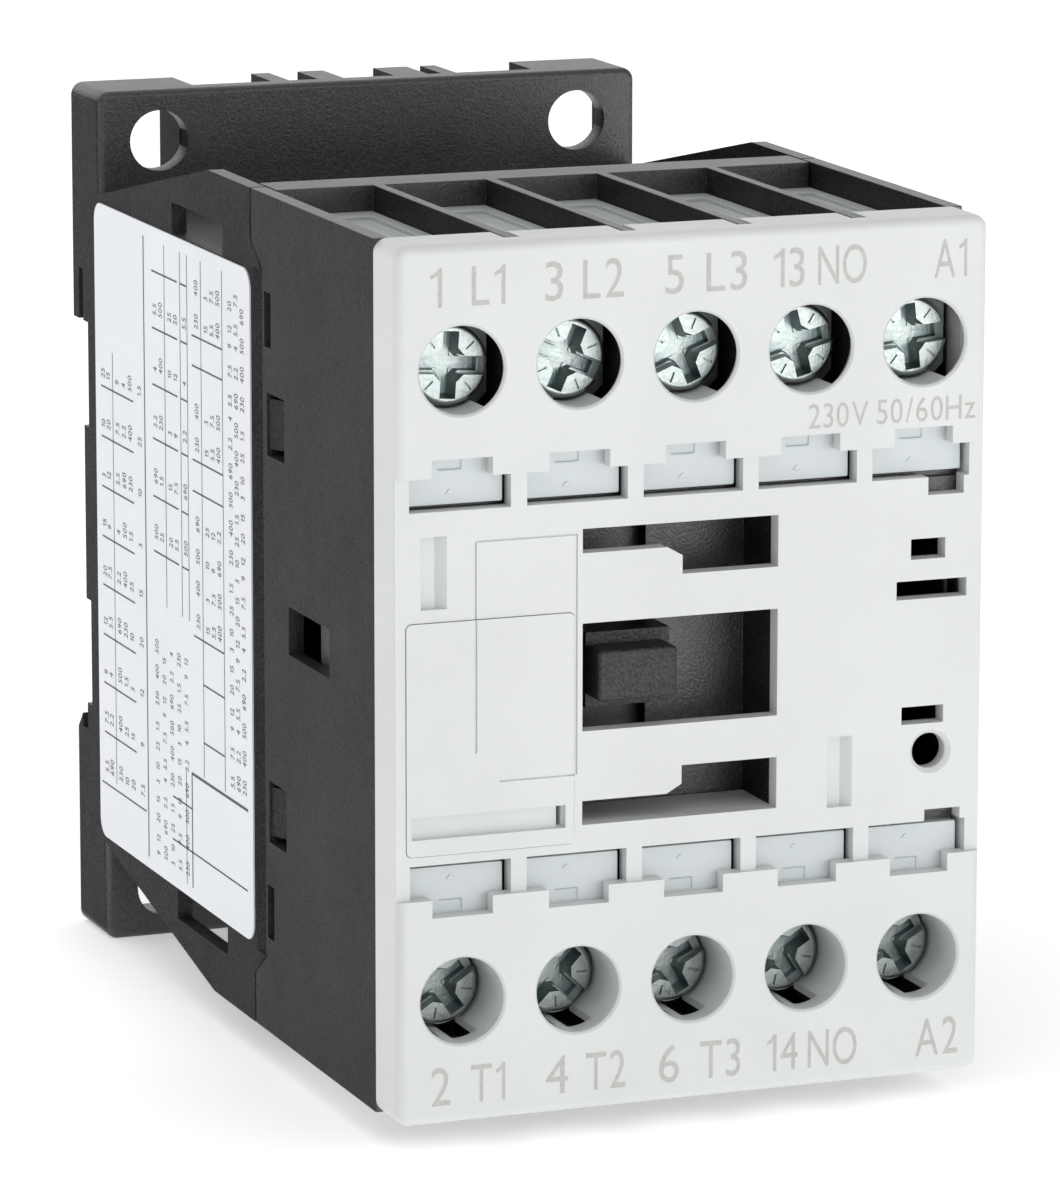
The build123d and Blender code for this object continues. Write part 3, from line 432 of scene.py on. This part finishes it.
# terminal markings: text, left edge, width
UPPER_LINE = [("1", -19.95, 0.85), ("L1", -16.9, 2.5), ("3", -11.45, 1.35), ("L2", -8.6, 3.05),
              ("5", -2.4, 1.4), ("L3", 0.7, 3.1), ("13", 5.85, 2.35), ("NO", 9.25, 3.75), ("A1", 18.25, 2.55)]
LOWER_LINE = [("2", -20.0, 1.45), ("T1", -17.0, 2.6), ("4", -11.3, 1.7), ("T2", -8.25, 3.05),
              ("6", -2.6, 1.55), ("T3", 0.55, 3.15), ("14", 5.8, 2.4), ("NO", 9.0, 3.85), ("A2", 17.5, 3.35)]
UPPER_FOOT = 27.15          # height at which the upper markings stand
LOWER_FOOT = -30.1
LETTER_H = 2.75
COIL_FOOT = (8.6, 16.85)    # left foot of the coil voltage line
COIL_LETTER_H = 1.75
COIL_WIDTH = 13.0
marking = bmesh.new()
for text, x, width in UPPER_LINE:
    write_text(marking, text, (x, UPPER_FOOT), LETTER_H, on_cover, width)
for text, x, width in LOWER_LINE:
    write_text(marking, text, (x, LOWER_FOOT), LETTER_H, on_cover, width)
write_text(marking, "230V 50/60Hz", COIL_FOOT, COIL_LETTER_H, on_cover, COIL_WIDTH)
add_print("terminal_markings", marking, PRINT_GREY)


# ------------------------------------------------------------------ print on the rating label
def on_label(u, v):
    """Place on the rating label: u is the height and v the depth, so words read upward."""
    return Vector((LABEL_FACE - PRINT_RISE, v - SEAT_DEPTH, u)) * MM


def rule(mesh, start, end, thickness):
    """Straight printed line between two (height, depth) points."""
    along = Vector((end[0] - start[0], end[1] - start[1])).normalized()
    side = Vector((-along.y, along.x)) * thickness / 2
    corners = ((start[0] + side.x, start[1] + side.y), (start[0] - side.x, start[1] - side.y),
               (end[0] - side.x, end[1] - side.y), (end[0] + side.x, end[1] + side.y))
    mesh.faces.new([mesh.verts.new(on_label(*corner)) for corner in corners])


FINE = 0.12                 # widths of the printed rules
CROSSING = 0.14
BOLD = 0.22
HEAVY = 0.24
# rules along the height: depth, lower end, upper end, width
LONG_RULES = (
    (37.6, -15.2, 24.4, FINE),
    (42.6, -15.2, 24.4, FINE),
    (45.9, -3.7, 24.4, FINE),
    (47.6, -3.7, 24.4, FINE),
    (51.4, -3.7, 24.4, FINE),
    (56.5, -24.5, 24.4, BOLD),
    (64.6, -20.5, 14.0, FINE),
    (45.6, -24.5, -15.5, BOLD),
    (47.0, -24.5, -15.5, FINE))
# rules across: their heights, the depths that they span, width
CROSS_RULES = (
    ((18.5, 16.2, 9.0, 6.6, -4.6), ((37.6, 44.8),), CROSSING),
    ((-8.0, -12.5), ((37.6, 42.7),), CROSSING),
    ((22.0, 17.6, 13.2, 9.0, 4.5, 0.2), ((45.9, 47.5), (48.3, 54.5)), CROSSING),
    ((11.0, 7.0, 3.0, -1.0, -4.9, -8.9, -12.8, -16.8), ((59.4, 67.6),), CROSSING),
    ((-21.0,), ((57.0, 68.4),), CROSSING),
    ((-15.5,), ((32.3, 45.6),), HEAVY),
    ((-21.7,), ((32.5, 50.5),), CROSSING),
    ((-18.3,), ((45.5, 50.3),), CROSSING))

RATINGS = ["230", "400", "500", "690", "2.2", "4", "5.5", "7.5",
           "9", "12", "20", "15", "3", "10", "25", "1.5"]
NUMBER_GAP = 0.7            # between numbers in a running row, as a share of their height
# blocks of numbers: depths of the rows, spans along the height, number height, spacing (0 in a running row),
# place of the first number in RATINGS and how many places each next row starts later
NUMBER_BLOCKS = (
    ((32.6, 34.0, 35.4), ((-14.5, 24.0),), 0.85, 0, 0, 3),
    ((38.2, 39.6, 41.0, 43.3), ((-3.9, 6.2), (9.7, 15.8), (19.1, 24.0)), 0.85, 2.5, 1, 5),
    ((46.2, 48.4, 49.8, 52.0, 53.4), ((1.2, 24.0),), 0.85, 4.36, 2, 4),
    ((57.4, 59.8, 61.4, 63.0, 65.3, 66.6), ((-20.0, 13.5),), 0.9, 3.96, 7, 3),
    ((46.4, 48.2, 50.0, 51.8, 53.6), ((-23.8, -5.5),), 0.8, 0, 0, 6))


def number_row(mesh, depth, low, high, height, step, first):
    """A row of plain numbers along the height of the label."""
    z = low
    i = first
    while z < high - 2 * height:
        word = RATINGS[i % len(RATINGS)]
        write_text(mesh, word, (z, depth), height, on_label)
        z += step if step else height * (SQUEEZE * len(word) + NUMBER_GAP)
        i += 1


rating = bmesh.new()
for depth, low, high, width in LONG_RULES:
    rule(rating, (low, depth), (high, depth), width)
for heights, spans, width in CROSS_RULES:
    for z in heights:
        for start, end in spans:
            rule(rating, (z, start), (z, end), width)
for depths, spans, height, step, first, later in NUMBER_BLOCKS:
    for i, depth in enumerate(depths):
        for low, high in spans:
            number_row(rating, depth, low, high, height, step, first + later * i)
add_print("rating_table", rating, PRINT_BLACK)


def coils(node, body):
    """A copy of a CAD spring, attached to a body with a mesh of its own, that stands for the rigid one, which
    is hidden.
    """
    source = frame["nodes"][node]
    soft = bpy.data.objects.new(node + "_coils", source.data.copy())
    bpy.context.scene.collection.objects.link(soft)
    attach(soft, body)
    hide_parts(node)
    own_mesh(soft)


coils("return_springs", "housing")
coils("contact_springs", "carrier")

# ------------------------------------------------------------------ studio
FLOOR_LEVEL = CAD_BOX[0].z  # metres, as are the next two
FLOOR_REACH = 1.5
SWEEP = 0.35                # start of the curve behind the object, and its radius
PAPER_GLOW = 0.42
WORLD_LIGHT = 0.32


def backdrop():
    """Pale floor that curves up into a wall behind the object."""
    mesh = bmesh.new()
    profile = [(-FLOOR_REACH, 0.0), (SWEEP, 0.0)]
    profile += [(SWEEP + SWEEP * math.sin(math.radians(a)), SWEEP - SWEEP * math.cos(math.radians(a)))
                for a in range(10, 91, 10)]
    profile += [(2 * SWEEP, FLOOR_REACH)]
    rows = []
    for y, z in profile:
        rows.append([mesh.verts.new((x, y, z + FLOOR_LEVEL)) for x in (-FLOOR_REACH, FLOOR_REACH)])
    for (a, b), (c, d) in zip(rows[:-1], rows[1:]):
        mesh.faces.new((a, b, d, c))
    data = bpy.data.meshes.new("studio_floor")
    mesh.to_mesh(data)
    mesh.free()
    for face in data.polygons:
        face.use_smooth = True
    floor = bpy.data.objects.new("studio_floor", data)
    bpy.context.scene.collection.objects.link(floor)
    s = Shader("studio_paper")
    s.link(s.ramp(s.noise(0.01, 2), srgb(244, 244, 244), srgb(250, 250, 250)), s.main.inputs["Base Color"])
    s.set(Roughness=0.8)
    s.set(Emission_Color=(1, 1, 1, 1), Emission_Strength=PAPER_GLOW)
    # the paper shows on its front only, so that a camera behind or below it still sees the object
    geometry = s.tree.nodes.new("ShaderNodeNewGeometry")
    clear = s.tree.nodes.new("ShaderNodeBsdfTransparent")
    mix = s.tree.nodes.new("ShaderNodeMixShader")
    s.link(geometry.outputs["Backfacing"], mix.inputs[0])
    s.link(s.main.outputs["BSDF"], mix.inputs[1])
    s.link(clear.outputs["BSDF"], mix.inputs[2])
    s.link(mix.outputs["Shader"], s.tree.nodes["Material Output"].inputs["Surface"])
    data.materials.append(s.material)


def soft_light(name, place, target, size, power):
    """Rectangular area lamp at a place, facing the target."""
    lamp = bpy.data.lights.new(name, "AREA")
    lamp.shape = "RECTANGLE"
    lamp.size, lamp.size_y = size
    lamp.energy = power
    light = bpy.data.objects.new(name, lamp)
    bpy.context.scene.collection.objects.link(light)
    light.location = place
    light.rotation_mode = "QUATERNION"
    light.rotation_quaternion = (Vector(place) - Vector(target)).to_track_quat("Z", "Y")


backdrop()
MIDDLE = (CAD_BOX[0] + CAD_BOX[1]) / 2
# place in metres, width and height in metres, power in watts
LIGHTS = {"key": ((-0.25, -0.55, 0.55), (0.5, 0.4), 0.92),
          "front": ((0.15, -0.85, 0.25), (0.5, 0.5), 0.45),
          "low_front": ((0.16, -0.42, 0.02), (0.22, 0.10), 0.27),
          "fill": ((0.45, -0.5, 0.2), (0.4, 0.5), 0.45),
          "left": ((-0.6, 0.05, 0.15), (0.5, 0.5), 0.45),
          "top": ((0.0, 0.1, 0.7), (0.6, 0.6), 0.8)}
for name, (place, size, power) in LIGHTS.items():
    soft_light(name, place, MIDDLE, size, power)

world = bpy.data.worlds.new("studio")
world.use_nodes = True
world.node_tree.nodes["Background"].inputs["Color"].default_value = (1, 1, 1, 1)
world.node_tree.nodes["Background"].inputs["Strength"].default_value = WORLD_LIGHT
bpy.context.scene.world = world
bpy.context.scene.view_settings.view_transform = "Standard"

# ------------------------------------------------------------------ camera
AZIMUTH = -21.59            # degrees, to the left of the front
ELEVATION = 11.34
ROLL = 0.171
DISTANCE = 491.7            # millimetres, from the aim point
AIM_RIGHT = -6.922          # aim point in the picture plane, from the middle of the cover's front
AIM_UP = 6.911
FOCAL = 207.74
SENSOR = 36.0
SHIFT = (-0.05645, -0.0229)


def photo_camera():
    """Long-lens camera to the left of the object and a little above it."""
    a = math.radians(AZIMUTH)
    e = math.radians(ELEVATION)
    back = Vector((math.sin(a) * math.cos(e), -math.cos(a) * math.cos(e), math.sin(e)))
    right = Vector((math.cos(a), math.sin(a), 0))
    up = back.cross(right)
    front = Vector((0, COVER_LOW.y, (COVER_LOW.z + COVER_HIGH.z) / 2))
    target = front + (right * AIM_RIGHT + up * AIM_UP) * MM
    data = bpy.data.cameras.new("photo_camera")
    data.sensor_fit = "AUTO"
    data.sensor_width = SENSOR
    data.lens = FOCAL
    data.shift_x, data.shift_y = SHIFT
    data.clip_start = 0.01
    camera = bpy.data.objects.new("photo_camera", data)
    bpy.context.scene.collection.objects.link(camera)
    turn = Matrix((right, up, back)).transposed()
    camera.rotation_mode = "QUATERNION"
    camera.rotation_quaternion = (turn @ Matrix.Rotation(math.radians(ROLL), 3, "Z")).to_quaternion()
    camera.location = target + back * DISTANCE * MM
    bpy.context.scene.camera = camera


photo_camera()
